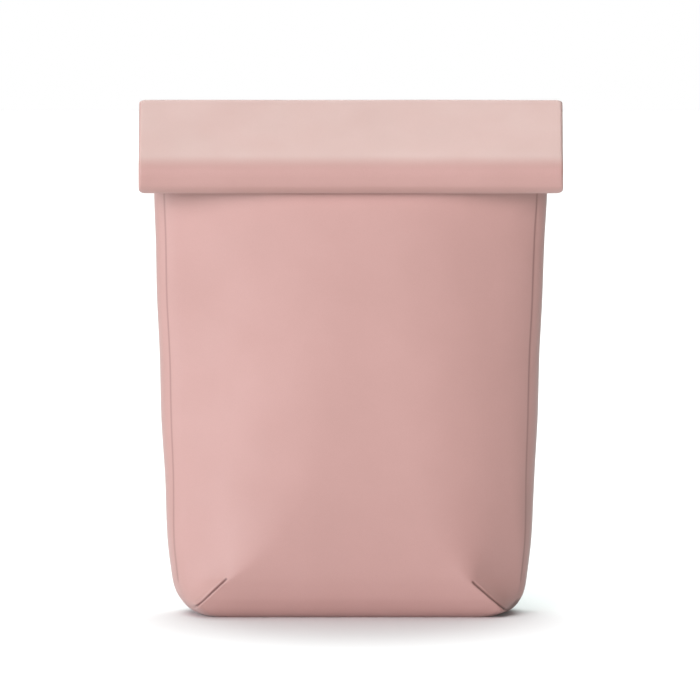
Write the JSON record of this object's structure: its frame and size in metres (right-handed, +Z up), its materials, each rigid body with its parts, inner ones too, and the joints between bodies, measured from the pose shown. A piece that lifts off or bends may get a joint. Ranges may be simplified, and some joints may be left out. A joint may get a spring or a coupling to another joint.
{
  "type": "roll-top silicone bag",
  "caption": "Free-standing roll-top bag of soft silicone sheet with a flat boxed base; its flattened mouth folds over the ridge, down the front and under.",
  "frame": {"origin": "on the ground under the middle of the closed bag's box", "axes": "+Z up, +X to the right of someone who faces the bag, -Y towards the front where the roll hangs"},
  "size_m": [0.2466, 0.072, 0.3],
  "materials": {
    "sheet": "matt",
    "tape": "matt",
    "board": "matt",
    "magnet": "nickel plated"
  },
  "bodies": {
    "bag": {"front_panel": "sheet", "back_panel": "sheet", "side_gusset_left": "sheet", "side_gusset_right": "sheet", "base_panel": "sheet", "base_board": "board", "corner_dart_tape_left": "tape", "corner_dart_tape_right": "tape", "catch_magnets": "magnet", "catch_magnet_cover": "tape", "ridge_fold": "sheet", "neck_fold": "sheet"},
    "top_flap": {"flap_outer_sheet": "sheet", "flap_inner_sheet": "sheet"},
    "front_band": {"brow_fold": "sheet", "brow_inner_fold": "sheet", "band_outer_sheet": "sheet", "band_inner_sheet": "sheet"},
    "lips": {"hem_fold": "sheet", "hem_inner_fold": "sheet", "lip_back_sheet": "sheet", "lip_front_sheet": "sheet", "lip_back_stiffener": "board", "lip_front_stiffener": "board", "lip_magnets": "magnet"}
  },
  "joints": [
    {"name": "ridge_unroll", "type": "hinge", "parent": "bag", "child": "top_flap", "pos_m": [0, 0.01939, 0.29958], "axis": [-1, 0, 0], "range_deg": [0, 124.5], "deforming": ["ridge_fold", "neck_fold"]},
    {"name": "brow_unfold", "type": "hinge", "parent": "top_flap", "child": "front_band", "pos_m": [0, -0.03288, 0.26487], "axis": [-1, 0, 0], "range_deg": [0, 55.5], "deforming": ["brow_fold", "brow_inner_fold"]},
    {"name": "hem_unfold", "type": "hinge", "parent": "front_band", "child": "lips", "pos_m": [0, -0.0285, 0.24496], "axis": [-1, 0, 0], "range_deg": [0, 180], "deforming": ["hem_fold", "hem_inner_fold"]}
  ],
  "couplings": [
    {"joint": "brow_unfold", "follows": "ridge_unroll", "ratio": 0.44578},
    {"joint": "hem_unfold", "follows": "ridge_unroll", "ratio": 1.4458}
  ]
}
